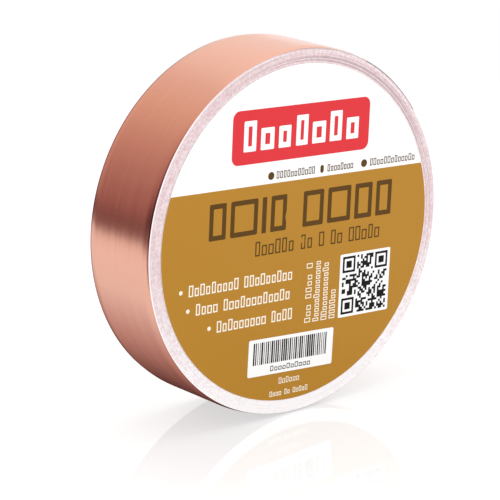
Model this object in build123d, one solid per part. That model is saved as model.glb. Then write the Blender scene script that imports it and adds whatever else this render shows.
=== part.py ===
from build123d import *
import math
import os

# Copper foil tape roll: copper tape on a paper release liner, wound on a paperboard core, with a
# round paper label over one side. The roll stands on its rim.
# Millimetres. Origin at the middle of the core's axis, the axis along Y, the label towards -Y,
# +Z up. Seen from the label side, the winding runs clockwise as it gets larger.

# tape, from the inside of a turn to its outside: liner, adhesive, foil
tape_width = 25.4
tape_length = 10972.8
liner_thickness = 0.12
adhesive_thickness = 0.035
foil_thickness = 0.035
layer_gap = 0.002
cut_gap = 0.01

# free end of the tape: its tip's place, clockwise from the top, and the clearances it moves in
tail_length = 24.0
tip_clock = 56.0
tail_root_gap = 0.06
tail_rest_gap = 0.05
tail_layer_gap = 0.02

# core of wound paperboard plies, with a coat of glue that holds the first turn
core_bore_diameter = 76.2
ply_thickness = 0.762
ply_count = 6
glue_line = 0.02
core_glue_thickness = 0.05

# paper label over the front of the roll, and the sticker on it
label_edge_margin = 4.24
label_paper_thickness = 0.12
label_adhesive_thickness = 0.03
label_turn = -3.0
sticker_width = 29.8
sticker_height = 10.3
sticker_corner_radius = 0.5
sticker_paper_thickness = 0.08
sticker_adhesive_thickness = 0.02
sticker_across = -0.75
sticker_edge_margin = 7.95
sticker_turn = -1.0
stack_gap = 0.004

# worked out from the sizes above
half_width = tape_width / 2
bore_radius = core_bore_diameter / 2
ply_pitch = ply_thickness + glue_line
core_radius = bore_radius + ply_count * ply_pitch
first_turn_radius = core_radius + core_glue_thickness + glue_line
adhesive_offset = liner_thickness + layer_gap
foil_offset = adhesive_offset + adhesive_thickness + layer_gap
turn_pitch = foil_offset + foil_thickness + layer_gap
half_pitch = turn_pitch / 2


def wound_angle(length):
    """Degrees of winding that a length of foil fills, counted from the first turn's start."""
    radius = first_turn_radius + foil_offset + foil_thickness / 2
    middle = radius - half_pitch / 2
    half_turns = math.floor(
        (math.sqrt(middle**2 + 2 * half_pitch * length / math.pi) - middle) / half_pitch
    )
    filled = math.pi * half_turns * (middle + half_pitch * half_turns / 2)
    last_radius = radius + half_turns * half_pitch
    return 180 * half_turns + math.degrees((length - filled) / last_radius)


tip_angle = wound_angle(tape_length)
start_direction = 90 - tip_clock + tip_angle


def half_turn_centre(index):
    """Every second half turn is centred half a pitch off the axis, towards the start."""
    if index % 2 == 0:
        return (0, 0)
    direction = math.radians(start_direction)
    return (half_pitch * math.cos(direction), half_pitch * math.sin(direction))


def half_turn_radius(index):
    return first_turn_radius + index * half_pitch


def point_on_winding(angle, offset):
    """Point at an angle of winding, an offset out from the inside of that turn."""
    index = math.floor(angle / 180)
    across, up = half_turn_centre(index)
    radius = half_turn_radius(index) + offset
    direction = math.radians(start_direction - angle)
    return (across + radius * math.cos(direction), up + radius * math.sin(direction))


def winding_arcs(start, end, offset):
    """One arc for each half turn, or part of one, between two angles of winding."""
    arcs = []
    for index in range(math.floor(start / 180), math.ceil(end / 180)):
        first = max(start, 180 * index)
        last = min(end, 180 * (index + 1))
        radius = half_turn_radius(index) + offset
        centre = half_turn_centre(index)
        arcs.append(CenterArc(centre, radius, start_direction - first, first - last))
    return arcs


def wound_strip(start, end, inner, thickness):
    """Strip of tape as wide as the roll, between two angles of winding."""
    outer = inner + thickness
    start_line = Line(point_on_winding(start, inner), point_on_winding(start, outer))
    end_line = Line(point_on_winding(end, inner), point_on_winding(end, outer))
    inner_arcs = winding_arcs(start, end, inner)
    outer_arcs = winding_arcs(start, end, outer)
    outline = Wire([start_line, *outer_arcs, end_line, *inner_arcs])
    return extrude(Plane.XZ.offset(-half_width) * make_face(outline), tape_width)


def tube(inner_radius, thickness):
    ring = Circle(inner_radius + thickness) - Circle(inner_radius)
    return extrude(Plane.XZ.offset(-half_width) * ring, tape_width)


def layer_on_front(outline, depth, thickness):
    """Flat layer in front of the roll's front side, depth from that side to its back."""
    return extrude(Plane.XZ.offset(half_width + depth) * outline, thickness)


def core_ply(number):
    return tube(bore_radius + (number - 1) * ply_pitch, ply_thickness)


def core_glue():
    return tube(core_radius, core_glue_thickness)


# the wound part ends where the free end begins, and its last full turn is a piece of its own
outer_radius = half_turn_radius(math.floor(tip_angle / 180)) + turn_pitch
root_angle = tip_angle - math.degrees(tail_length / outer_radius)
outer_turn_start = root_angle - 360 + math.degrees(cut_gap / outer_radius)
tail_start_angle = root_angle + math.degrees(tail_root_gap / outer_radius)
liner_tail_offset = tail_rest_gap
adhesive_tail_offset = adhesive_offset + tail_rest_gap + tail_layer_gap
foil_tail_offset = foil_offset + tail_rest_gap + tail_layer_gap

# layers on the front side, each a gap in front of the one behind it
label_adhesive_depth = stack_gap
label_depth = label_adhesive_depth + label_adhesive_thickness + stack_gap
sticker_adhesive_depth = label_depth + label_paper_thickness + stack_gap
sticker_depth = sticker_adhesive_depth + sticker_adhesive_thickness + stack_gap
label_radius = outer_radius - label_edge_margin
label_outline = Circle(label_radius)
sticker_up = sticker_edge_margin + sticker_height / 2 - label_radius
sticker_place = Rotation(0, 0, label_turn) * Pos(sticker_across, sticker_up)
sticker_shape = RectangleRounded(sticker_width, sticker_height, sticker_corner_radius)
sticker_outline = sticker_place * Rotation(0, 0, sticker_turn) * sticker_shape

nodes = {
    "core_glue": core_glue(),
    "release_liner": wound_strip(0, root_angle, 0, liner_thickness),
    "adhesive_film": wound_strip(0, root_angle, adhesive_offset, adhesive_thickness),
    "copper_foil": wound_strip(0, root_angle - 360, foil_offset, foil_thickness),
    "foil_outer_turn": wound_strip(
        outer_turn_start, root_angle, foil_offset, foil_thickness
    ),
    "liner_tail": wound_strip(
        tail_start_angle, tip_angle, liner_tail_offset, liner_thickness
    ),
    "adhesive_tail": wound_strip(
        tail_start_angle, tip_angle, adhesive_tail_offset, adhesive_thickness
    ),
    "foil_tail": wound_strip(tail_start_angle, tip_angle, foil_tail_offset, foil_thickness),
    "label_adhesive": layer_on_front(
        label_outline, label_adhesive_depth, label_adhesive_thickness
    ),
    "front_label": layer_on_front(label_outline, label_depth, label_paper_thickness),
    "sticker_adhesive": layer_on_front(
        sticker_outline, sticker_adhesive_depth, sticker_adhesive_thickness
    ),
    "barcode_sticker": layer_on_front(
        sticker_outline, sticker_depth, sticker_paper_thickness
    ),
}
for number in range(1, ply_count + 1):
    nodes[f"core_ply_{number}"] = core_ply(number)

os.makedirs("parts", exist_ok=True)
for name, solid in nodes.items():
    export_step(solid, f"parts/{name}.step")

# the two hinge lines, each along Y through the outer corner of the tail's first edge
tail_hinge = point_on_winding(tail_start_angle, foil_tail_offset + foil_thickness)
liner_hinge = point_on_winding(tail_start_angle, liner_tail_offset + liner_thickness)
print("turns of tape", round(tip_angle / 360, 2))
print("outer radius", round(outer_radius, 3))
print("tail hinge x, z", [round(value, 5) for value in tail_hinge])
print("liner hinge x, z", [round(value, 5) for value in liner_hinge])
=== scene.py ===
import math
import random

import bmesh
import bpy
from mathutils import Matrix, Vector


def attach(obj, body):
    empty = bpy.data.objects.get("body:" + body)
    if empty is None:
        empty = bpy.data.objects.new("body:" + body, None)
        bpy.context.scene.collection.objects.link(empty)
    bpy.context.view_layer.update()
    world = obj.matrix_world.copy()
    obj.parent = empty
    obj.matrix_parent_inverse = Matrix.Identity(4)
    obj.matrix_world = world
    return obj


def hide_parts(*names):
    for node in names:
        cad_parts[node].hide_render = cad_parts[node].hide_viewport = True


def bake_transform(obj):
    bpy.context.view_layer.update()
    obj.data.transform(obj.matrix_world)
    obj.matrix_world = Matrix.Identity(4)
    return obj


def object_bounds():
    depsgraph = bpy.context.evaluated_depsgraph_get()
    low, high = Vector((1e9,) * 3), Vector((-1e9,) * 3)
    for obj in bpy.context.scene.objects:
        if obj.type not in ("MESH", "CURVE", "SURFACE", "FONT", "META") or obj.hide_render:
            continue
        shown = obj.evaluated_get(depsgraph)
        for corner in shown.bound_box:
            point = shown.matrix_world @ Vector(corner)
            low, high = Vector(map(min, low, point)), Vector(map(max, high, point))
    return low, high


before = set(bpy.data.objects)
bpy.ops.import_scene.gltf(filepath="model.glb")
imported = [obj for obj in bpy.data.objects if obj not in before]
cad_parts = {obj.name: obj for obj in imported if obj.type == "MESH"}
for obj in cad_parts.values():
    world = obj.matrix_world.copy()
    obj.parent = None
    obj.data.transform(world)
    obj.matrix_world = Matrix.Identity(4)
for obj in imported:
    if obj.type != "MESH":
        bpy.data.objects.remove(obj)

# copper foil tape roll standing on its rim, its round label towards -Y
cadLow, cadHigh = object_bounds()
mm = 0.001

# the winding; in each turn, from the inside out: liner, adhesive, foil
roll = {
    "halfWidth": 12.7 * mm,
    "tapeLength": 10972.8 * mm,
    "boreRadius": 38.1 * mm,
    "ply": 0.762 * mm,
    "plyPitch": 0.782 * mm,
    "plies": 6,
    "coreGlue": 0.07 * mm,      # coat of glue, and the line under it
    "liner": 0.12 * mm,
    "adhesive": 0.035 * mm,
    "foil": 0.035 * mm,
    "gap": 0.002 * mm,
    "tailLength": 24.0 * mm,
    "tailRootGap": 0.06 * mm,
    "tailRest": 0.05 * mm,
    "tailGap": 0.02 * mm,
    "tipClock": 56.0,           # degrees clockwise from the top
}
adhesiveOffset = roll["liner"] + roll["gap"]
foilOffset = adhesiveOffset + roll["adhesive"] + roll["gap"]
halfPitch = (foilOffset + roll["foil"] + roll["gap"]) / 2
coreRadius = roll["boreRadius"] + roll["plies"] * roll["plyPitch"]
firstRadius = coreRadius + roll["coreGlue"]


def woundAngle(length):     # radians of winding that a length of foil fills
    radius = firstRadius + foilOffset + roll["foil"] / 2
    middle = radius - halfPitch / 2
    share = 2 * halfPitch * length / math.pi
    halfTurns = math.floor((math.sqrt(middle ** 2 + share) - middle) / halfPitch)
    filled = math.pi * halfTurns * (middle + halfPitch * halfTurns / 2)
    return math.pi * halfTurns + (length - filled) / (radius + halfTurns * halfPitch)


tipAngle = woundAngle(roll["tapeLength"])
startDirection = math.radians(90 - roll["tipClock"]) + tipAngle
outerRadius = firstRadius + (math.floor(tipAngle / math.pi) + 2) * halfPitch
rootAngle = tipAngle - roll["tailLength"] / outerRadius
tailStart = rootAngle + roll["tailRootGap"] / outerRadius


# node helpers
def addNode(tree, kind, wires=None, **settings):
    node = tree.nodes.new(kind)
    for key, value in settings.items():
        setattr(node, key, value)
    for socket, value in (wires or {}).items():
        if isinstance(value, bpy.types.NodeSocket):
            tree.links.new(value, node.inputs[socket])
        else:
            node.inputs[socket].default_value = value
    return node


def sums(tree, operation, *values):
    return addNode(tree, "ShaderNodeMath", dict(enumerate(values)),
                   operation=operation).outputs[0]


def ranged(tree, value, start, full, low=0.0, high=1.0, smooth=False):
    return addNode(tree, "ShaderNodeMapRange", {0: value, 1: start, 2: full, 3: low, 4: high},
                   interpolation_type="SMOOTHSTEP" if smooth else "LINEAR").outputs[0]


def mixed(tree, share, first, second):
    return addNode(tree, "ShaderNodeMix", {0: share, 6: first, 7: second}, data_type="RGBA").outputs[2]


def joined(tree, *values):      # three numbers as one vector
    return addNode(tree, "ShaderNodeCombineXYZ", dict(enumerate(values))).outputs[0]


def parted(tree, vector):
    return addNode(tree, "ShaderNodeSeparateXYZ", {0: vector}).outputs


def objectSpot(tree):
    return addNode(tree, "ShaderNodeTexCoord").outputs["Object"]


def wireUp(tree, target, sources):
    for socket, source in sources.items():
        tree.links.new(source, target.inputs[socket])


def newTree(name, kind, inputs, outputs):
    tree = bpy.data.node_groups.new(name, kind)
    for label, socketType, value in inputs:
        socket = tree.interface.new_socket(label, in_out="INPUT", socket_type=socketType)
        if value is not None:
            socket.default_value = value
    for label, socketType in outputs:
        tree.interface.new_socket(label, in_out="OUTPUT", socket_type=socketType)
    entry = tree.nodes.new("NodeGroupInput")
    given = {item.name: item for item in entry.outputs if item.name}
    return tree, given, tree.nodes.new("NodeGroupOutput")


def endTree(tree, geometry, given, result):     # real geometry in the finish it was given
    real = addNode(tree, "GeometryNodeRealizeInstances", {"Geometry": geometry})
    painted = addNode(tree, "GeometryNodeSetMaterial", {"Geometry": real.outputs[0],
                                                        "Material": given["Material"]})
    tree.links.new(painted.outputs[0], result.inputs["Geometry"])


def place(name, mesh, body, slotName, *nodes):
    piece = bpy.data.objects.new(name, mesh)
    bpy.context.scene.collection.objects.link(piece)
    if body:
        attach(piece, body)
    if nodes:
        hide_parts(*nodes)
    return piece


def grow(name, tree, inputs):    # runs a tree once, gives a plain mesh
    scratch = bpy.data.objects.new(name + "Source", bpy.data.meshes.new(name + "Base"))
    bpy.context.scene.collection.objects.link(scratch)
    modifier = scratch.modifiers.new(name, "NODES")
    modifier.node_group = tree
    for item in tree.interface.items_tree:
        if item.in_out == "INPUT" and item.name in inputs:
            modifier[item.identifier] = inputs[item.name]
    depsgraph = bpy.context.evaluated_depsgraph_get()
    mesh = bpy.data.meshes.new_from_object(scratch.evaluated_get(depsgraph))
    scratch.modifiers.clear()
    bpy.data.objects.remove(scratch)
    mesh.name = name
    return mesh


def fillRamp(ramp, stops):
    elements = ramp.color_ramp.elements
    while len(elements) < len(stops):
        elements.new(0.5)
    for element, (position, colour) in zip(elements, stops):
        element.position = position
        element.color = (*colour, 1.0)


# shader groups
amount, whole = "NodeSocketFloat", "NodeSocketInt"
tint, arrow = "NodeSocketColor", "NodeSocketVector"
paperLook = {"cloudSize": 70.0, "fibreShare": 0.6, "toothHeight": 0.03 * mm}


def paperGrainGroup():
    tree, given, result = newTree("paperGrain", "ShaderNodeTree", [
        ("Colour", tint, (0.8, 0.8, 0.8, 1.0)), ("Fibre size", amount, 900.0),
        ("Mottle", amount, 0.06), ("Roughness", amount, 0.6), ("Tooth", amount, 0.15),
    ], [("Colour", tint), ("Roughness", amount), ("Normal", arrow)])
    where = objectSpot(tree)
    fibre = addNode(tree, "ShaderNodeTexNoise", {"Vector": where, "Scale": given["Fibre size"],
                                                 "Detail": 4.0, "Roughness": 0.6}).outputs["Fac"]
    cloud = addNode(tree, "ShaderNodeTexNoise", {"Vector": where, "Scale": paperLook["cloudSize"],
                                                 "Detail": 3.0}).outputs["Fac"]
    both = sums(tree, "ADD", sums(tree, "MULTIPLY", fibre, paperLook["fibreShare"]),
                sums(tree, "MULTIPLY", cloud, 1 - paperLook["fibreShare"]))
    swing = sums(tree, "MULTIPLY", sums(tree, "SUBTRACT", both, 0.5), given["Mottle"])
    tone = sums(tree, "ADD", 1.0, sums(tree, "MULTIPLY", swing, 2.0))
    colour = addNode(tree, "ShaderNodeVectorMath", {0: given["Colour"], "Scale": tone}, operation="SCALE")
    bump = addNode(tree, "ShaderNodeBump", {"Height": fibre, "Strength": given["Tooth"],
                                            "Distance": paperLook["toothHeight"]})
    wireUp(tree, result, {"Colour": colour.outputs[0], "Normal": bump.outputs[0],
                          "Roughness": sums(tree, "ADD", given["Roughness"], swing)})
    return tree


paperGrain = paperGrainGroup()


def newMaterial(name, group, values):   # a material with one of the groups in it
    material = bpy.data.materials.new(name)
    material.use_nodes = True
    tree = material.node_tree
    shader = tree.nodes["Principled BSDF"]
    grain = addNode(tree, "ShaderNodeGroup", node_tree=group)
    for socket, value in values.items():
        grain.inputs[socket].default_value = value
    tree.links.new(grain.outputs["Normal"], shader.inputs["Normal"])
    return material, tree, shader, grain.outputs


def paperFinish(name, colour, roughness, mottle, fibre, tooth, gloss):
    material, tree, shader, grain = newMaterial(name, paperGrain, {
        "Colour": (*colour, 1.0), "Fibre size": fibre, "Mottle": mottle, "Roughness": roughness,
        "Tooth": tooth})
    wireUp(tree, shader, {"Base Color": grain["Colour"], "Roughness": grain["Roughness"]})
    shader.inputs["Specular IOR Level"].default_value = gloss
    return material


def printFinish(name, colour, roughness, gloss, mottle=0.05):   # ink, or the smooth face of a label
    return paperFinish(name, colour, roughness, mottle, 1400.0, 0.05, gloss)


foilLook = {
    "colour": (0.93, 0.53, 0.42, 1.0),
    "streakColour": (0.86, 0.45, 0.34, 1.0),
    "roughness": 0.22,
    "roughSpread": 0.10,
    "streaksAcross": 2600.0,    # per metre over the width
    "streaksAlong": 14.0,       # per metre along the strip
    "streakDepth": 0.016 * mm,
    "wavesAcross": 210.0,
    "wavesAlong": 9.0,
    "waveDepth": 0.16 * mm,     # long shallow waves from the layers below
    # painted shade: grey on the foil's edge at the upper right, near the free end
    "greyShadeEdge": (0.30, 0.22, 0.24, 1.0),
    "greyShadePart": (44 * mm, 60 * mm),     # across and up together, so the upper right
    # painted shade: a dark stripe on the foil's edges, in place of a dark reflection
    "shadedEdge": (0.36, 0.14, 0.15, 1.0),
    "shadedPart": [(0, -15 * mm, -28 * mm), (2, -8 * mm, -1 * mm), (2, 36 * mm, 20 * mm)],
    "edgeFrom": (11.9 * mm, 12.4 * mm),
}


def rollingGrainGroup():        # fine lines that run along a rolled strip
    tree, given, result = newTree("rollingGrain", "ShaderNodeTree", [
        ("Across", amount, foilLook["streaksAcross"]), ("Along", amount, foilLook["streaksAlong"]),
        ("Roughness", amount, 0.24), ("Spread", amount, 0.1), ("Depth", amount, 0.004 * mm),
        ("Crease", amount, 0.1 * mm),
    ], [("Mask", amount), ("Roughness", amount), ("Normal", arrow)])
    strip = parted(tree, addNode(tree, "ShaderNodeUVMap", uv_map="UVMap").outputs[0])

    def streaks(along, across, detail):
        there = joined(tree, sums(tree, "MULTIPLY", strip[0], along),
                       sums(tree, "MULTIPLY", strip[1], across))
        return addNode(tree, "ShaderNodeTexNoise", {"Vector": there, "Scale": 1.0,
                                                    "Detail": detail}).outputs["Fac"]

    lines = streaks(given["Along"], given["Across"], 3.0)
    waves = streaks(foilLook["wavesAlong"], foilLook["wavesAcross"], 2.0)
    rough = sums(tree, "MULTIPLY", sums(tree, "SUBTRACT", lines, 0.5), given["Spread"])
    height = sums(tree, "ADD", sums(tree, "MULTIPLY", lines, given["Depth"]),
                  sums(tree, "MULTIPLY", waves, given["Crease"]))
    bump = addNode(tree, "ShaderNodeBump", {"Height": height, "Strength": 1.0, "Distance": 1.0})
    wireUp(tree, result, {"Mask": lines, "Normal": bump.outputs[0],
                          "Roughness": sums(tree, "ADD", given["Roughness"], rough)})
    return tree


def rolledCopper():
    material, tree, shader, grain = newMaterial("rolledCopper", rollingGrainGroup(), {
        "Across": foilLook["streaksAcross"], "Along": foilLook["streaksAlong"],
        "Roughness": foilLook["roughness"], "Spread": foilLook["roughSpread"],
        "Depth": foilLook["streakDepth"], "Crease": foilLook["waveDepth"]})
    bare = mixed(tree, grain["Mask"], foilLook["colour"], foilLook["streakColour"])
    spot = parted(tree, objectSpot(tree))
    atEdge = ranged(tree, sums(tree, "ABSOLUTE", spot[1]), *foilLook["edgeFrom"])
    # painted shade: the edge turns grey at the upper right
    greyShade = ranged(tree, sums(tree, "ADD", spot[0], spot[2]), *foilLook["greyShadePart"])
    # painted shade: a dark stripe on the front edge on the left only, and on the rear edge all round
    window = 1.0
    for axis, start, full in foilLook["shadedPart"]:
        window = sums(tree, "MULTIPLY", window, ranged(tree, spot[axis], start, full))
    shaded = sums(tree, "MAXIMUM", sums(tree, "GREATER_THAN", spot[1], 0.0), window)
    shaded = sums(tree, "MAXIMUM", shaded, greyShade)
    edge = mixed(tree, greyShade, foilLook["shadedEdge"], foilLook["greyShadeEdge"])
    colour = mixed(tree, sums(tree, "MULTIPLY", shaded, atEdge), bare, edge)
    wireUp(tree, shader, {"Base Color": colour, "Roughness": grain["Roughness"]})
    shader.inputs["Metallic"].default_value = 1.0
    return material


copper = rolledCopper()
edgeLook = {
    "clean": (0.74, 0.55, 0.61, 1.0),
    "adhesive": (0.82, 0.66, 0.69, 1.0),
    "fuzzAndHighlight": (0.99, 0.96, 0.97, 1.0),
    # painted shade: colour of the dark turns and of the shadow line along the free end's edges
    "paintedShade": (0.42, 0.32, 0.34, 1.0),
    "streaksOut": 3000.0,       # per metre outwards, a few turns each
    "streaksRound": 11.0,       # per metre round the roll
    "streakRange": (0.46, 0.64),
    "shadeLean": (9.0, 13.0),   # per metre across and up, so the upper right
    "shadeRange": (0.0, 0.7, 0.12, 1.0),
    "paleAlong": 9.0,           # pale stretches, per metre of strip
    "paleRange": (0.45, 0.6),
    "fuzzSize": 1400.0,
    "fuzzRange": (0.34, 0.66),
    "fuzzHeight": 0.04 * mm,
    "lowSide": (-50 * mm, -2 * mm, 0.84, 0.0),      # paler towards the bottom
    "speckShare": 0.46,
    "paleShare": 0.24,
    # painted highlight: a white line along the outer rim of the winding
    "whiteRim": (49.25 * mm, 49.65 * mm),
    "rimShare": 1.1,            # less where there is painted shade
    "roughness": 0.65,
    "roughSpread": 0.2,
    "hidden": 0.85,             # how much of the metal the fuzz and the painted rim highlight hide
    # painted shadow: a dark line along the strips' edges, for the free end
    "tailShadowBand": (12.45 * mm, 12.58 * mm),
}


def slitEdgeGroup():            # the wound strips' cut edges: darker turns of painted shade, pale fuzz and a painted highlight along the outer rim
    tree, given, result = newTree("slitEdge", "ShaderNodeTree", [
        ("Clean", tint, edgeLook["clean"]), ("Fuzz and highlight", tint, edgeLook["fuzzAndHighlight"]),
        ("Painted shade", tint, edgeLook["paintedShade"]), ("Painted shade share", amount, 0.8), ("Edge shade", amount, 0.0),
    ], [("Colour", tint), ("Roughness", amount), ("Normal", arrow), ("Bare", amount)])
    along = parted(tree, addNode(tree, "ShaderNodeUVMap", uv_map="UVMap").outputs[0])[0]
    where = objectSpot(tree)
    spot = parted(tree, where)
    radius = sums(tree, "SQRT", sums(tree, "ADD", sums(tree, "POWER", spot[0], 2.0),
                                     sums(tree, "POWER", spot[2], 2.0)))
    banded = joined(tree, sums(tree, "MULTIPLY", radius, edgeLook["streaksOut"]),
                    sums(tree, "MULTIPLY", spot[0], edgeLook["streaksRound"]),
                    sums(tree, "MULTIPLY", spot[2], edgeLook["streaksRound"]))
    turnTone = addNode(tree, "ShaderNodeTexNoise", {"Vector": banded, "Scale": 1.0, "Detail": 2.0,
                                                    "Roughness": 0.6})
    streak = ranged(tree, turnTone.outputs["Fac"], *edgeLook["streakRange"], smooth=True)
    # painted shade: dark turns sit mostly on the upper right of the roll; fuzz on the lower side
    lean = sums(tree, "ADD", sums(tree, "MULTIPLY", spot[0], edgeLook["shadeLean"][0]),
                sums(tree, "MULTIPLY", spot[2], edgeLook["shadeLean"][1]))
    shadeSide = ranged(tree, lean, *edgeLook["shadeRange"])
    dark = sums(tree, "MULTIPLY", sums(tree, "MULTIPLY", streak, shadeSide), given["Painted shade share"])
    # painted shadow line along the edges, used on the free end's strips
    atEdge = ranged(tree, sums(tree, "ABSOLUTE", spot[1]), *edgeLook["tailShadowBand"])
    dark = sums(tree, "MAXIMUM", dark, sums(tree, "MULTIPLY", atEdge, given["Edge shade"]))
    fine = addNode(tree, "ShaderNodeTexNoise", {"Vector": where, "Scale": edgeLook["fuzzSize"],
                                                "Detail": 2.0}).outputs["Fac"]
    paleTurn = addNode(tree, "ShaderNodeTexNoise", {
        "W": sums(tree, "ADD", along, 40.0), "Scale": edgeLook["paleAlong"], "Detail": 1.0},
        noise_dimensions="1D")
    low = ranged(tree, spot[2], *edgeLook["lowSide"])
    # painted highlight: white along the outer rim, less where the painted shade sits
    rim = sums(tree, "MULTIPLY", ranged(tree, radius, *edgeLook["whiteRim"]),
               sums(tree, "SUBTRACT", edgeLook["rimShare"], shadeSide))
    speck = sums(tree, "ADD", low, sums(tree, "MULTIPLY", ranged(tree, fine, *edgeLook["fuzzRange"]),
                                        edgeLook["speckShare"]))
    speck = sums(tree, "ADD", speck, sums(tree, "MULTIPLY", ranged(
        tree, paleTurn.outputs["Fac"], *edgeLook["paleRange"]), edgeLook["paleShare"]))
    pale = sums(tree, "MINIMUM", sums(tree, "MAXIMUM", speck, rim), 1.0)
    colour = mixed(tree, dark, mixed(tree, pale, given["Clean"], given["Fuzz and highlight"]), given["Painted shade"])
    bump = addNode(tree, "ShaderNodeBump", {"Height": fine, "Strength": 0.5,
                                            "Distance": edgeLook["fuzzHeight"]})
    wireUp(tree, result, {
        "Colour": colour, "Normal": bump.outputs[0],
        "Roughness": sums(tree, "ADD", edgeLook["roughness"], sums(tree, "MULTIPLY", fine,
                                                                   edgeLook["roughSpread"])),
        "Bare": sums(tree, "SUBTRACT", 1.0, sums(tree, "MULTIPLY", pale, edgeLook["hidden"]))})
    return tree


slitEdge = slitEdgeGroup()


def slitFinish(name, clean, shadeShare, gloss, edgeShade=0.0):
    material, tree, shader, edge = newMaterial(name, slitEdge, {
        "Clean": clean, "Painted shade share": shadeShare, "Edge shade": edgeShade})
    wireUp(tree, shader, {"Base Color": edge["Colour"], "Roughness": edge["Roughness"]})
    shader.inputs["Specular IOR Level"].default_value = gloss
    return material


def woundCopperFinish():        # inner turns: copper edges half hidden by paper fuzz, and by a painted highlight near the outer rim
    material, tree, shader, edge = newMaterial("woundCopper", slitEdge, {
        "Clean": foilLook["streakColour"], "Painted shade share": 0.6})
    wireUp(tree, shader, {"Base Color": edge["Colour"], "Metallic": edge["Bare"]})
    shader.inputs["Roughness"].default_value = 0.4
    return material


woundCopper = woundCopperFinish()
# the number after each colour is the share of painted shade on the dark turns
linerPaper = slitFinish("linerPaper", edgeLook["clean"], 0.8, 0.3)
clearAdhesive = slitFinish("clearAdhesive", edgeLook["adhesive"], 0.9, 0.4)
# the last number is the painted shadow line along the free end's edges
tailAdhesive = slitFinish("tailAdhesive", edgeLook["adhesive"], 0.0, 0.4, 0.95)
tailLiner = slitFinish("tailLiner", edgeLook["clean"], 0.0, 0.3, 0.9)
boardTones = (1.0, 0.86, 1.05, 0.9, 1.0, 0.82)
coreBoards = [paperFinish("coreBoard" + str(ply + 1), (0.47 * tone, 0.37 * tone, 0.255 * tone),
                          0.85, 0.22, 1500.0, 0.6, 0.2) for ply, tone in enumerate(boardTones)]
coreGlueDry = paperFinish("coreGlueDry", (0.7, 0.62, 0.48), 0.5, 0.1, 900.0, 0.2, 0.4)
labelBack = paperFinish("labelBack", (0.76, 0.73, 0.67), 0.38, 0.32, 260.0, 0.35, 0.5)
stickerWhite = paperFinish("stickerWhite", (0.92, 0.92, 0.91), 0.55, 0.03, 1400.0, 0.08, 0.4)
labelWhite = printFinish("labelWhite", (0.95, 0.95, 0.95), 0.45, 0.5, 0.03)
ochreInk = printFinish("ochreInk", (0.45, 0.214, 0.017), 0.45, 0.25)
redInk = printFinish("redInk", (0.712, 0.024, 0.034), 0.45, 0.3)
brownInk = printFinish("brownInk", (0.105, 0.050, 0.007), 0.5, 0.15)
creamInk = printFinish("creamInk", (0.92, 0.86, 0.72), 0.45, 0.5, 0.04)
blackInk = printFinish("blackInk", (0.008, 0.008, 0.009), 0.5, 0.12, 0.1)
print("finishes made")


# wound layers: one tree for the tape's three strips, its free end and the core's plies
winding = {
    "stepsPerTurn": 120,
    "outerSteps": 420,
    "rows": 9,
    "outerRows": 41,
    "crowding": 2.2,            # how far the rows crowd towards both edges
    "sway": 0.07 * mm,
    "swayRate": 0.42,
    "edgeDip": 0.38 * mm,
    "edgeBand": 2.4 * mm,
    "dipCurve": 1.3,
    "dipFrom": 46 * mm,         # radius
    "ripple": 0.03 * mm,
    "ripplesRound": 3.2,        # per radian
    "ripplesAcross": 140.0,     # per metre
    "rippleMiddle": 0.6,
}


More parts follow.
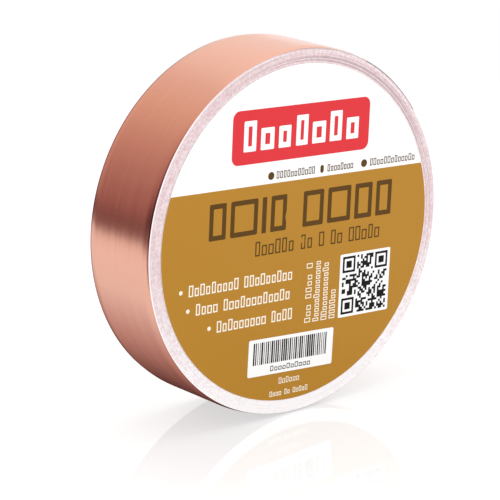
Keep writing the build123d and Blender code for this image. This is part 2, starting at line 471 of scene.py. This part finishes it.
def woundLayerTree():
    tree, given, result = newTree("woundLayer", "GeometryNodeTree", [
        ("Inner radius", amount, 0.04), ("Half pitch", amount, 0.0), ("Start direction", amount, 0.0),
        ("Start angle", amount, 0.0), ("End angle", amount, 6.0), ("Half width", amount, 0.0127),
        ("Thickness", amount, 0.0001), ("Steps along", whole, 100), ("Rows across", whole, 13),
        ("Slant", amount, 0.0), ("Sway", amount, 0.0), ("Sway rate", amount, 1.0),
        ("Ripple", amount, 0.0), ("Edge dip", amount, 0.0), ("Edge band", amount, 0.0015),
        ("Dip starts", amount, 0.046), ("Dip ends", amount, 0.0503),
        ("Material", "NodeSocketMaterial", None),
    ], [("Geometry", "NodeSocketGeometry")])

    def calc(operation, *values):
        return sums(tree, operation, *values)

    block = addNode(tree, "GeometryNodeMeshCube", {
        "Vertices X": given["Steps along"], "Vertices Y": given["Rows across"], "Vertices Z": 2})
    spot = parted(tree, addNode(tree, "GeometryNodeInputPosition").outputs[0])
    share = calc("ADD", spot[0], 0.5)
    turned = calc("SUBTRACT", given["End angle"], given["Start angle"])
    angle = calc("ADD", given["Start angle"], calc("MULTIPLY", share, turned))
    side = calc("MULTIPLY", spot[1], 2.0)
    inward = calc("MAXIMUM", calc("SUBTRACT", 1.0, calc("ABSOLUTE", side)), 0.0)
    crowded = calc("SUBTRACT", 1.0, calc("POWER", inward, winding["crowding"]))
    across = calc("MULTIPLY", calc("SIGN", side), crowded)
    half = calc("SUBTRACT", given["Half width"], given["Sway"])
    drift = addNode(tree, "ShaderNodeTexNoise", {"W": calc("MULTIPLY", angle, given["Sway rate"]),
                                                 "Scale": 1.0, "Detail": 1.0}, noise_dimensions="1D")
    lean = calc("MULTIPLY", calc("SUBTRACT", drift.outputs["Fac"], 0.5), 2.0)
    depth = calc("ADD", calc("MULTIPLY", across, half), calc("MULTIPLY", lean, given["Sway"]))
    # every second half turn is centred half a pitch off the axis
    index = calc("FLOOR", calc("DIVIDE", calc("ADD", angle, 0.00001), math.pi))
    shift = calc("MULTIPLY", calc("MODULO", index, 2.0), given["Half pitch"])
    radius = calc("ADD", given["Inner radius"], calc("MULTIPLY", index, given["Half pitch"]))
    # the layers dip towards their edges, the outer ones most
    fromEdge = calc("SUBTRACT", calc("MULTIPLY", calc("ABSOLUTE", across), half),
                    calc("SUBTRACT", half, given["Edge band"]))
    dip = calc("POWER", calc("MAXIMUM", calc("DIVIDE", fromEdge, given["Edge band"]), 0.0),
               winding["dipCurve"])
    fade = ranged(tree, radius, given["Dip starts"], given["Dip ends"], smooth=True)
    radius = calc("SUBTRACT", radius, calc("MULTIPLY", calc("MULTIPLY", dip, fade), given["Edge dip"]))
    waveSpot = joined(tree, calc("MULTIPLY", angle, winding["ripplesRound"]),
                      calc("MULTIPLY", depth, winding["ripplesAcross"]))
    wave = addNode(tree, "ShaderNodeTexNoise", {"Vector": waveSpot, "Scale": 1.0, "Detail": 1.0})
    swell = calc("SUBTRACT", wave.outputs["Fac"], winding["rippleMiddle"])
    swell = calc("MULTIPLY", swell, given["Ripple"])
    outward = calc("MULTIPLY", calc("ADD", spot[2], 0.5), given["Thickness"])
    radius = calc("ADD", calc("ADD", radius, swell), outward)
    direction = calc("ADD", calc("SUBTRACT", given["Start direction"], angle),
                     calc("MULTIPLY", depth, given["Slant"]))
    x = calc("ADD", calc("MULTIPLY", shift, calc("COSINE", given["Start direction"])),
             calc("MULTIPLY", radius, calc("COSINE", direction)))
    z = calc("ADD", calc("MULTIPLY", shift, calc("SINE", given["Start direction"])),
             calc("MULTIPLY", radius, calc("SINE", direction)))
    onStrip = joined(tree, calc("MULTIPLY", angle, given["Inner radius"]), depth)
    named = addNode(tree, "GeometryNodeStoreNamedAttribute", {
        "Geometry": block.outputs["Mesh"], "Name": "UVMap", "Value": onStrip},
        data_type="FLOAT2", domain="CORNER")
    moved = addNode(tree, "GeometryNodeSetPosition", {"Geometry": named.outputs[0],
                                                      "Position": joined(tree, x, depth, z)})
    smooth = addNode(tree, "GeometryNodeSetShadeSmooth", {"Geometry": moved.outputs[0],
                                                          "Shade Smooth": True})
    endTree(tree, smooth.outputs[0], given, result)
    return tree


woundLayer = woundLayerTree()


def woundPiece(name, material, offset, thickness, start, end, perTurn, rows, ripple=0.0):
    mesh = grow(name, woundLayer, {
        "Inner radius": firstRadius + offset, "Half pitch": halfPitch, "Start direction": startDirection,
        "Start angle": start, "End angle": end, "Half width": roll["halfWidth"], "Thickness": thickness,
        "Steps along": max(12, round((end - start) / (2 * math.pi) * perTurn)), "Rows across": rows,
        "Slant": 0.0, "Sway": winding["sway"], "Sway rate": winding["swayRate"], "Ripple": ripple,
        "Edge dip": winding["edgeDip"], "Edge band": winding["edgeBand"],
        "Dip starts": winding["dipFrom"], "Dip ends": outerRadius, "Material": material})
    mesh.set_sharp_from_angle(angle=math.radians(40))
    return mesh


turn = 2 * math.pi
cutGap = 0.01 * mm / outerRadius
strips = [
    ("linerStrip", linerPaper, 0.0, "liner", rootAngle, "liner_paper", "release_liner"),
    ("adhesiveStrip", clearAdhesive, adhesiveOffset, "adhesive", rootAngle, "tape_adhesive",
     "adhesive_film"),
    ("foilStrip", woundCopper, foilOffset, "foil", rootAngle - turn, "copper", "copper_foil"),
]
for name, material, offset, layer, end, slotName, node in strips:
    mesh = woundPiece(name, material, offset, roll[layer], 0.0, end, winding["stepsPerTurn"],
                      winding["rows"])
    place(name, mesh, "roll", slotName, node)
outerTurn = woundPiece("foilOuterTurn", copper, foilOffset, roll["foil"], rootAngle - turn + cutGap,
                       rootAngle, winding["outerSteps"], winding["outerRows"], winding["ripple"])
place("foilOuterTurn", outerTurn, "roll", "copper", "foil_outer_turn")
print("tape wound:", round(tipAngle / turn, 2), "turns")

# the free end, laid a little above the outer turn
tailLift = roll["tailRest"] + roll["tailGap"]
tails = [
    ("foilTail", copper, foilOffset + tailLift, "foil", "tape_end", "copper", "foil_tail"),
    ("adhesiveTail", tailAdhesive, adhesiveOffset + tailLift, "adhesive", "tape_end", "tape_adhesive",
     "adhesive_tail"),
    ("linerTail", tailLiner, roll["tailRest"], "liner", "liner_end", "liner_paper", "liner_tail"),
]
for name, material, offset, layer, body, slotName, node in tails:
    mesh = woundPiece(name, material, offset, roll[layer], tailStart, tipAngle, 2 * winding["outerSteps"],
                      winding["outerRows"])
    tail = place(name, mesh, None, slotName, node)
    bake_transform(tail)
print("free end laid on")

# core: six board plies, each one strip with a slanting butt seam
core = {"seamGap": 0.25 * mm, "slant": 62.0, "firstSeam": 0.7, "seamStep": 2.3, "steps": 220}
for number in range(roll["plies"]):
    inner = roll["boreRadius"] + number * roll["plyPitch"]
    seam = core["seamGap"] / inner
    name = "corePly" + str(number + 1)
    mesh = grow(name, woundLayer, {
        "Inner radius": inner, "Half pitch": 0.0,
        "Start direction": core["firstSeam"] + number * core["seamStep"],
        "Start angle": 0.0, "End angle": turn - seam, "Half width": roll["halfWidth"],
        "Thickness": roll["ply"], "Steps along": core["steps"], "Rows across": winding["rows"],
        "Slant": core["slant"], "Sway": 0.0, "Ripple": 0.0, "Edge dip": 0.0, "Edge band": 1 * mm,
        "Dip starts": 1.0, "Dip ends": 2.0, "Material": coreBoards[number]})
    mesh.set_sharp_from_angle(angle=math.radians(40))
    place(name, mesh, "roll", "core_board", "core_ply_" + str(number + 1))
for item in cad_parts["core_glue"].material_slots:
    item.material = coreGlueDry
print("core made")

# label: a paper disc that dips a little where nothing backs it
label = {
    "radius": 46.07 * mm,
    "turn": math.radians(-3.0),
    "front": -12.858 * mm,
    "paper": 0.12 * mm,
    "back": -12.704 * mm,
    "glue": 0.03 * mm,
    "dip": 0.15 * mm,
    "dipWave": 0.25,            # share of the dip that varies round the label
    "ink": 0.012 * mm,
    "panelTop": 14.86 * mm,
    "slice": 4 * mm,            # wide films are cut this fine, this many times each way
    "slices": 6,
}


def labelDip(x, z):
    share = min(1.0, math.hypot(x, z) / (roll["boreRadius"] - 1 * mm))
    wave = 1 - label["dipWave"] + label["dipWave"] * math.sin(2.0 * math.atan2(z, x) + 0.8)
    return label["dip"] * wave * (1 - share ** 2) ** 2


def discMesh(radius, front, back, rings=26, around=200):
    shape = bmesh.new()
    layers = []
    for depth in (front, back):
        rows = []
        for ring in range(1, rings + 1):
            r = radius * ring / rings
            angles = [turn * i / around for i in range(around)]
            rows.append([shape.verts.new((r * math.cos(a), depth, r * math.sin(a))) for a in angles])
        layers.append((shape.verts.new((0, depth, 0)), rows))
    for centre, rows in layers:
        for i in range(around):
            shape.faces.new((centre, rows[0][i - 1], rows[0][i]))
            for inside, outside in zip(rows, rows[1:]):
                shape.faces.new((inside[i - 1], outside[i - 1], outside[i], inside[i]))
    frontEdge, backEdge = layers[0][1][-1], layers[1][1][-1]
    for i in range(around):
        shape.faces.new((frontEdge[i - 1], backEdge[i - 1], backEdge[i], frontEdge[i]))
    return shape


def finishMesh(shape, name, materials, follow=True):
    if follow:
        for vert in shape.verts:
            vert.co.y += labelDip(vert.co.x, vert.co.z)
    bmesh.ops.recalc_face_normals(shape, faces=shape.faces)
    for face in shape.faces:
        face.smooth = True
    mesh = bpy.data.meshes.new(name)
    shape.to_mesh(mesh)
    shape.free()
    mesh.set_sharp_from_angle(angle=math.radians(30))
    for material in materials:
        mesh.materials.append(material)
    return mesh


across = Vector((math.cos(label["turn"]), 0, math.sin(label["turn"])))
upward = Vector((-math.sin(label["turn"]), 0, math.cos(label["turn"])))


def cutFlat(shape, spot, normal):
    everything = list(shape.verts) + list(shape.edges) + list(shape.faces)
    bmesh.ops.bisect_plane(shape, geom=everything, plane_co=spot, plane_no=normal)


def onLabel(x, z, front):       # label's own across and up, to the roll's frame
    spot = across * x + upward * z
    return Vector((spot.x, front, spot.z))


paper = discMesh(label["radius"], label["front"], label["front"] + label["paper"])
cutFlat(paper, onLabel(0, label["panelTop"], 0), upward)
for face in paper.faces:
    middle = face.calc_center_median()
    printed = middle.y < label["front"] + 0.01 * mm and middle.dot(upward) < label["panelTop"]
    face.material_index = 1 if printed else 0
paperMesh = finishMesh(paper, "labelPaper", [labelWhite, ochreInk])
place("labelPaper", paperMesh, "roll", "label_paper", "front_label")
glue = discMesh(label["radius"], label["back"] - label["glue"], label["back"])
glueMesh = finishMesh(glue, "labelAdhesive", [labelBack])
place("labelAdhesive", glueMesh, "roll", "label_adhesive", "label_adhesive")
print("label made")


# print on the label: thin films with rounded corners
def roundedOutline(width, height, corner, steps=5):
    points = []
    for quarter in range(4):
        cx = (width / 2 - corner) * (1 if quarter in (0, 3) else -1)
        cz = (height / 2 - corner) * (1 if quarter < 2 else -1)
        for step in range(steps + 1):
            a = (quarter + step / steps) * math.pi / 2
            points.append((cx + corner * math.cos(a), cz + corner * math.sin(a)))
    return points


def addFilm(shape, outline, spot, front, thickness, turned=0.0, hole=None):
    c, s = math.cos(turned), math.sin(turned)

    def ringAt(points, depth):
        return [shape.verts.new(onLabel(spot[0] + x * c - z * s, spot[1] + x * s + z * c, depth))
                for x, z in points]

    rings = [ringAt(outline, front), ringAt(outline, front + thickness)]
    count = len(outline)
    if hole:
        holes = [ringAt(hole, front), ringAt(hole, front + thickness)]
        for i in range(count):
            shape.faces.new((rings[0][i - 1], rings[0][i], holes[0][i], holes[0][i - 1]))
            shape.faces.new((rings[1][i], rings[1][i - 1], holes[1][i - 1], holes[1][i]))
            shape.faces.new((holes[0][i - 1], holes[0][i], holes[1][i], holes[1][i - 1]))
            shape.faces.new((rings[0][i], rings[0][i - 1], rings[1][i - 1], rings[1][i]))
        return
    shape.faces.new(rings[0])
    shape.faces.new(rings[1][::-1])
    for i in range(count):
        shape.faces.new((rings[0][i], rings[0][i - 1], rings[1][i - 1], rings[1][i]))


def sliced(shape):      # cuts a wide film so that it can follow the paper
    for normal in (across, upward):
        for step in range(-label["slices"], label["slices"] + 1):
            cutFlat(shape, normal * (step * label["slice"]), normal)


def wideFilm(name, size, corner, spot, front, thickness, material, steps, turned=0.0):
    shape = bmesh.new()
    addFilm(shape, roundedOutline(*size, corner, steps), spot, front, thickness, turned)
    sliced(shape)
    return finishMesh(shape, name, [material])


inkFront = label["front"] - label["ink"]
badge = {"at": (-0.25 * mm, 28.05 * mm), "size": (47.5 * mm, 14.5 * mm), "corner": 2.2 * mm}
place("labelBadge", wideFilm("labelBadge", badge["size"], badge["corner"], badge["at"], inkFront,
                             label["ink"], redInk, 8), "roll", "label_paper")

# rows of plain blocks stand where lettering would be
blockLook = {
    "wordGap": 0.8,             # in blocks
    "widths": (0.68, 0.8),      # least and most, as a share of a block's room
    "low": 0.72,                # height of the lower blocks
    "corner": 0.06,
}


def blockRows(*rows):           # words, left, base, height, room and seed; lengths in mm
    blocks = []
    for words, left, base, high, room, seed in rows:
        chance = random.Random(seed)
        x = left * mm
        pitch = room * mm / (sum(words) + blockLook["wordGap"] * (len(words) - 1))
        for word in words:
            for letter in range(word):
                wide = pitch * chance.uniform(*blockLook["widths"])
                share = chance.choice((blockLook["low"], blockLook["low"], 1.0) if letter else (1.0,))
                blocks.append((x + pitch / 2, base * mm + high * mm * share / 2, wide, high * mm * share))
                x += pitch
            x += blockLook["wordGap"] * pitch
    return blocks


def spots(*rows):               # middle, width and height of single marks, in mm
    return [tuple(value * mm for value in row) for row in rows]


def printBlocks(name, blocks, material, stroke=0.0, front=inkFront, slotName="label_paper", turned=0.0,
                pivot=(0, 0), corner=blockLook["corner"]):
    shape = bmesh.new()
    c, s = math.cos(turned), math.sin(turned)
    for x, z, wide, high in blocks:
        radius = corner * min(wide, high)
        hole = None
        if stroke and min(wide, high) > 2.6 * stroke:
            inner = max(radius - stroke, 0.1 * stroke)
            hole = roundedOutline(wide - 2 * stroke, high - 2 * stroke, inner, 3)
        spot = (pivot[0] + x * c - z * s, pivot[1] + x * s + z * c)
        addFilm(shape, roundedOutline(wide, high, radius, 3), spot, front, label["ink"], turned, hole)
    place(name, finishMesh(shape, name, [material]), "roll", slotName)


printBlocks("badgeBlocks", blockRows(([7], -21.0, 24.2, 8.2, 41.5, 4)), labelWhite, 1.45 * mm,
            inkFront - label["ink"])
webBlocks = blockRows(([11], -8.6, 15.95, 2.0, 13.6, 11), ([8], 9.2, 15.95, 2.0, 9.4, 12),
                      ([13], 24.4, 15.95, 2.0, 16.8, 13))
printBlocks("webLine", webBlocks, brownInk, 0.26 * mm)
webMarks = spots((-10.3, 16.9, 2.2, 2.2), (7.4, 16.9, 1.2, 2.2), (22.4, 16.9, 2.2, 2.2))
printBlocks("webDots", webMarks, brownInk, corner=0.5)

title = {"middle": 6.5, "height": 9.8, "gap": 1.5, "stroke": 1.35 * mm,
         "words": ((-30.6, (5.6, 9.2, 1.5, 5.4)), (1.4, (7.2, 8.2, 6.2, 5.6)))}
titleBlocks = []
for left, widths in title["words"]:
    for wide in widths:
        titleBlocks += spots((left + wide / 2, title["middle"], wide, title["height"]))
        left += wide + title["gap"]
printBlocks("titleBlocks", titleBlocks, brownInk, title["stroke"])
printBlocks("subtitleBlocks", blockRows(([6, 2, 1, 2, 5], -15.0, -4.5, 4.0, 44.6, 21)), brownInk, 0.4 * mm)

bullets = blockRows(([9, 9], -36.8, -12.5, 3.1, 35.6, -39.2), ([4, 12], -34.3, -17.8, 3.1, 32.5, -36.7),
                    ([9, 4], -27.0, -23.5, 3.1, 26.3, -29.4))
printBlocks("bulletLines", bullets, creamInk, 0.36 * mm)
bulletMarks = spots((-39.2, -11.0, 1.2, 1.2), (-36.7, -16.3, 1.2, 1.2), (-29.4, -22.0, 1.2, 1.2))
printBlocks("bulletDots", bulletMarks, creamInk, corner=0.5)

sideLines = blockRows(([3, 4, 1], 0.0, -2.0, 2.1, 17.0, 50), ([13], 0.0, -4.9, 2.1, 17.2, 51),
                      ([12], 0.0, -7.8, 2.1, 16.4, 52), ([6], 0.0, -10.7, 2.1, 8.4, 53))
printBlocks("sideLines", sideLines, creamInk, 0.26 * mm, turned=math.pi / 2, pivot=(3.7 * mm, -25.6 * mm))
finePrint = blockRows(([6], -4.7, -41.2, 1.7, 7.5, 61), ([4, 2, 5], -7.7, -44.5, 1.5, 13.6, 62))
printBlocks("finePrint", finePrint, creamInk, 0.2 * mm)
print("print laid down")


# code square: random cells kept by a seeded pick
def cellTree():
    tree, given, result = newTree("codeCells", "GeometryNodeTree", [
        ("Side", amount, 0.016), ("Cells", whole, 25), ("Thickness", amount, 0.00001),
        ("Share", amount, 0.5), ("Seed", whole, 3), ("Material", "NodeSocketMaterial", None),
    ], [("Geometry", "NodeSocketGeometry")])
    cell = sums(tree, "DIVIDE", given["Side"], given["Cells"])
    span = sums(tree, "SUBTRACT", given["Side"], cell)
    grid = addNode(tree, "GeometryNodeMeshGrid", {
        "Size X": span, "Size Y": span, "Vertices X": given["Cells"], "Vertices Y": given["Cells"]})
    pick = addNode(tree, "FunctionNodeRandomValue", {"Seed": given["Seed"]}, data_type="BOOLEAN")
    tree.links.new(given["Share"], pick.inputs["Probability"])
    chosen = next(item for item in pick.outputs if item.enabled and item.type == "BOOLEAN")
    # three corners stay clear for the square marks, eight cells each way
    spot = parted(tree, addNode(tree, "GeometryNodeInputPosition").outputs[0])
    clear = sums(tree, "SUBTRACT", sums(tree, "DIVIDE", given["Side"], 2.0),
                 sums(tree, "MULTIPLY", cell, 8.0))
    below = sums(tree, "MULTIPLY", clear, -1.0)
    left = sums(tree, "LESS_THAN", spot[0], below)
    right = sums(tree, "GREATER_THAN", spot[0], clear)
    top = sums(tree, "GREATER_THAN", spot[1], clear)
    bottom = sums(tree, "LESS_THAN", spot[1], below)
    taken = sums(tree, "MAXIMUM", sums(tree, "MULTIPLY", top, sums(tree, "MAXIMUM", left, right)),
                 sums(tree, "MULTIPLY", bottom, left))
    keep = sums(tree, "MULTIPLY", chosen, sums(tree, "SUBTRACT", 1.0, taken))
    points = addNode(tree, "GeometryNodeMeshToPoints", {"Mesh": grid.outputs["Mesh"], "Selection": keep})
    tile = addNode(tree, "GeometryNodeMeshCube", {"Size": joined(tree, cell, cell, given["Thickness"])})
    tiles = addNode(tree, "GeometryNodeInstanceOnPoints", {"Points": points.outputs[0],
                                                           "Instance": tile.outputs["Mesh"]})
    endTree(tree, tiles.outputs[0], given, result)
    return tree


def placeFlat(name, mesh, slotName, lay):       # lays a flat mesh on the label, front side out
    shape = bmesh.new()
    shape.from_mesh(mesh)
    for vert in shape.verts:
        vert.co = lay(*vert.co)
    place(name, finishMesh(shape, name, [blackInk]), "roll", slotName)


code = {
    "at": (24.75 * mm, -16.85 * mm),
    "size": (18.2 * mm, 17.8 * mm),
    "corner": 0.4 * mm,
    "cells": 25,
    "side": 16.3 * mm,
    "filled": 0.5,
    "seed": 5,
}
place("codeSquare", wideFilm("codeSquare", code["size"], code["corner"], code["at"], inkFront,
                             label["ink"], labelWhite, 3), "roll", "label_paper")
cells = grow("codeCells", cellTree(), {
    "Side": code["side"], "Cells": code["cells"], "Thickness": label["ink"],
    "Share": code["filled"], "Seed": code["seed"], "Material": blackInk})
placeFlat("codeCells", cells, "label_paper", lambda x, y, z: onLabel(
    code["at"][0] + x, code["at"][1] + y, inkFront - label["ink"] / 2 - z))
cell = code["side"] / code["cells"]


def cellSquare(count):
    return roundedOutline(count * cell, count * cell, 0.2 * cell, 2)


markAt = code["side"] / 2 - 3.5 * cell      # marks are seven cells wide
for number, (dx, dz) in enumerate(((-1, 1), (1, 1), (-1, -1))):
    shape = bmesh.new()
    spot = (code["at"][0] + dx * markAt, code["at"][1] + dz * markAt)
    addFilm(shape, cellSquare(7), spot, inkFront - label["ink"], label["ink"], hole=cellSquare(5))
    addFilm(shape, cellSquare(3), spot, inkFront - label["ink"], label["ink"])
    name = "codeMark" + str(number + 1)
    place(name, finishMesh(shape, name, [blackInk]), "roll", "label_paper")

# sticker with a bar pattern
sticker = {
    "at": (-0.75 * mm, -32.95 * mm),
    "size": (29.8 * mm, 10.3 * mm),
    "corner": 0.5 * mm,
    "turn": math.radians(-1.0),
    "paper": 0.08 * mm,
    "glue": 0.02 * mm,
    "gap": 0.004 * mm,
}
glueFront = label["front"] - sticker["gap"] - sticker["glue"]
stickerFront = glueFront - sticker["gap"] - sticker["paper"]
for name, front, thick, material, slotName, node in (
        ("stickerAdhesive", glueFront, sticker["glue"], labelBack, "label_adhesive", "sticker_adhesive"),
        ("stickerPaper", stickerFront, sticker["paper"], stickerWhite, "sticker_paper", "barcode_sticker")):
    place(name, wideFilm(name, sticker["size"], sticker["corner"], sticker["at"], front, thick, material, 4,
                         sticker["turn"]), "roll", slotName, node)


def barTree():
    tree, given, result = newTree("stickerBars", "GeometryNodeTree", [
        ("Length", amount, 0.025), ("Height", amount, 0.006), ("Bars", whole, 40),
        ("Thickness", amount, 0.00001), ("Thinnest", amount, 0.2), ("Widest", amount, 0.8),
        ("Seed", whole, 3), ("Material", "NodeSocketMaterial", None),
    ], [("Geometry", "NodeSocketGeometry")])
    pitch = sums(tree, "DIVIDE", given["Length"], given["Bars"])
    row = addNode(tree, "GeometryNodeMeshLine", {"Count": given["Bars"], "Offset": joined(tree, pitch)})
    wide = addNode(tree, "FunctionNodeRandomValue", {2: given["Thinnest"], 3: given["Widest"],
                                                     "Seed": given["Seed"]}, data_type="FLOAT").outputs[1]
    size = joined(tree, pitch, given["Height"], given["Thickness"])
    bar = addNode(tree, "GeometryNodeMeshCube", {"Size": size})
    pattern = addNode(tree, "GeometryNodeInstanceOnPoints", {
        "Points": row.outputs[0], "Instance": bar.outputs["Mesh"], "Scale": joined(tree, wide, 1.0, 1.0)})
    endTree(tree, pattern.outputs[0], given, result)
    return tree


bars = {"length": 26.0 * mm, "height": 6.2 * mm, "count": 37, "up": 1.1 * mm, "widths": (0.25, 0.84),
        "seed": 7}
barMesh = grow("stickerBars", barTree(), {
    "Length": bars["length"], "Height": bars["height"], "Bars": bars["count"], "Thickness": label["ink"],
    "Thinnest": bars["widths"][0], "Widest": bars["widths"][1], "Seed": bars["seed"], "Material": blackInk})


def onSticker(x, y, z):
    x -= bars["length"] / 2
    y += bars["up"]
    c, s = math.cos(sticker["turn"]), math.sin(sticker["turn"])
    return onLabel(sticker["at"][0] + x * c - y * s, sticker["at"][1] + x * s + y * c,
                   stickerFront - label["ink"] / 2 - z)


placeFlat("stickerBars", barMesh, "sticker_paper", onSticker)
printBlocks("stickerLine", blockRows(([10], -7.2, -4.3, 1.5, 14.4, 71)), blackInk, 0.22 * mm,
            stickerFront - label["ink"], "sticker_paper", sticker["turn"], sticker["at"])
print("sticker made")

# floor: plain, pale and a little glossy
floorLook = {
    "radius": 0.42,
    "colour": (0.30, 0.30, 0.30),
    "glow": 0.755,
    "roughness": 0.03,
    "mirror": 0.17,
    "mirrorFades": (0.05, 0.12),
    # painted shadow and light: what polished metal sees in the floor, by distance to the side of the roll
    "seen": [(0.0, (0.01, 0.005, 0.005)), (0.05, (0.08, 0.025, 0.022)), (0.08, (0.28, 0.145, 0.125)),
             (0.115, (0.53, 0.355, 0.33)), (0.168, (0.75, 0.67, 0.66)), (0.21, (0.90, 0.88, 0.85)),
             (0.45, (0.99, 0.95, 0.92)), (0.72, (0.90, 0.80, 0.75)), (1.0, (0.55, 0.36, 0.33))],
    "seenReach": 0.4,
}
floorMesh = bpy.data.meshes.new("floor")
shape = bmesh.new()
bmesh.ops.create_circle(shape, cap_ends=True, radius=floorLook["radius"], segments=96)
shape.to_mesh(floorMesh)
shape.free()


def floorFinish():
    material = paperFinish("floorPlastic", floorLook["colour"], 0.8, 0.0, 60.0, 0.0, 0.0)
    tree = material.node_tree
    shader = tree.nodes["Principled BSDF"]
    shader.inputs["Emission Color"].default_value = (1.0, 1.0, 1.0, 1.0)
    shader.inputs["Emission Strength"].default_value = floorLook["glow"]
    spot = objectSpot(tree)
    # painted shadow and light for glossy rays only, dark near the roll
    share = sums(tree, "DIVIDE", sums(tree, "ABSOLUTE", parted(tree, spot)[0]), floorLook["seenReach"])
    ramp = addNode(tree, "ShaderNodeValToRGB", {0: share})
    fillRamp(ramp, floorLook["seen"])
    seen = addNode(tree, "ShaderNodeEmission", {0: ramp.outputs[0], 1: 1.0})
    # a faint mirror that fades away from the roll
    mirror = addNode(tree, "ShaderNodeBsdfGlossy", {"Roughness": floorLook["roughness"]})
    away = addNode(tree, "ShaderNodeVectorMath", {0: spot}, operation="LENGTH").outputs["Value"]
    near = ranged(tree, away, *floorLook["mirrorFades"], floorLook["mirror"], 0.0, smooth=True)
    sheen = addNode(tree, "ShaderNodeMixShader", {0: near, 1: shader.outputs[0], 2: mirror.outputs[0]})
    ray = addNode(tree, "ShaderNodeLightPath").outputs["Is Glossy Ray"]
    mix = addNode(tree, "ShaderNodeMixShader", {0: ray, 1: sheen.outputs[0], 2: seen.outputs[0]})
    tree.links.new(mix.outputs[0], tree.nodes["Material Output"].inputs["Surface"])
    return material


floorMesh.materials.append(floorFinish())
floor = bpy.data.objects.new("floor", floorMesh)
floor.location = (0, 0, cadLow.z)
bpy.context.scene.collection.objects.link(floor)

# light: a wide soft box to the right and above, an even white surround and a lamp overhead
studio = {
    "surround": 1.1,
    "overheadSize": 0.40,
    "overheadHeight": 0.42,
    "overheadPower": 0.85,
    "stripTop": 0.13,           # a bright strip low on the right
    "stripFrom": (0.35, 0.6),
    "stripPower": 0.6,
    "stripColour": (1.5, 1.6, 1.7, 1.0),
    "horizon": (0.175, 0.070, 0.072, 1.0),
    "horizonSoft": 0.02,
    "boxDirection": (math.cos(math.radians(40)), 0.06, math.sin(math.radians(40))),
    "byBox": [(0.0, (0.06, 0.02, 0.022)), (0.21, (0.07, 0.022, 0.026)), (0.26, (0.21, 0.084, 0.084)),
              (0.30, (0.33, 0.158, 0.153)), (0.5, (0.58, 0.38, 0.33)),
              (0.65, (0.77, 0.60, 0.50)), (0.76, (0.85, 0.72, 0.66)), (0.80, (0.92, 0.85, 0.79)),
              (0.835, (0.98, 0.92, 0.87)), (1.0, (1.15, 1.12, 1.10))],
}


def makeWorld():
    world = bpy.data.worlds.new("studio")
    bpy.context.scene.world = world
    world.use_nodes = True
    tree = world.node_tree
    tree.nodes.clear()
    ray = addNode(tree, "ShaderNodeLightPath").outputs
    where = addNode(tree, "ShaderNodeTexCoord").outputs["Generated"]
    facing = addNode(tree, "ShaderNodeVectorMath", {0: where, 1: studio["boxDirection"]},
                     operation="DOT_PRODUCT")
    share = sums(tree, "MULTIPLY_ADD", facing.outputs["Value"], 0.5, 0.5)
    ramp = addNode(tree, "ShaderNodeValToRGB", {0: share})
    fillRamp(ramp, studio["byBox"])
    split = parted(tree, where)
    above = ranged(tree, split[2], -studio["horizonSoft"], studio["horizonSoft"])
    box = mixed(tree, above, studio["horizon"], ramp.outputs[0])
    strip = sums(tree, "MULTIPLY", ranged(tree, split[2], studio["stripTop"], 0.0, smooth=True),
                 ranged(tree, split[0], *studio["stripFrom"]))
    both = mixed(tree, sums(tree, "MULTIPLY", strip, studio["stripPower"]), box, studio["stripColour"])

    def sky(colour, power):
        return addNode(tree, "ShaderNodeBackground", {0: colour, 1: power}).outputs[0]

    def choose(rays, other, own):
        return addNode(tree, "ShaderNodeMixShader", {0: rays, 1: other, 2: own}).outputs[0]

    white = (1.0, 1.0, 1.0, 1.0)
    lit = choose(ray["Is Glossy Ray"], sky(white, studio["surround"]), sky(both, 1.0))
    last = choose(ray["Is Camera Ray"], lit, sky(white, 1.0))
    addNode(tree, "ShaderNodeOutputWorld", {0: last})


makeWorld()
overhead = bpy.data.lights.new("overhead", "AREA")
overhead.shape = "SQUARE"
overhead.size = studio["overheadSize"]
overhead.energy = studio["overheadPower"]
lamp = bpy.data.objects.new("overhead", overhead)
lamp.location = (0, 0, studio["overheadHeight"])
lamp.visible_glossy = False
bpy.context.scene.collection.objects.link(lamp)
bpy.context.scene.view_settings.view_transform = "Standard"

# camera; distance, right and up are in radii of the roll
view = {"azimuth": -39.22, "elevation": 16.13, "distance": 13.482, "right": -0.095, "up": -0.142,
        "reach": 50.2 * mm, "lens": 179.9}
a, e = math.radians(view["azimuth"]), math.radians(view["elevation"])
back = Vector((math.sin(a) * math.cos(e), -math.cos(a) * math.cos(e), math.sin(e)))
rightward = Vector((math.cos(a), math.sin(a), 0.0))
cameraUp = rightward.cross(-back)
camera = bpy.data.objects.new("camera", bpy.data.cameras.new("camera"))
camera.data.lens = view["lens"]
camera.data.sensor_width = 36.0
camera.data.clip_start = 0.01
camera.location = view["reach"] * (back * view["distance"] + rightward * view["right"]
                                   + cameraUp * view["up"])
camera.rotation_mode = "QUATERNION"
camera.rotation_quaternion = (-back).to_track_quat("-Z", "Y")
bpy.context.scene.collection.objects.link(camera)
bpy.context.scene.camera = camera
print("light and camera set")
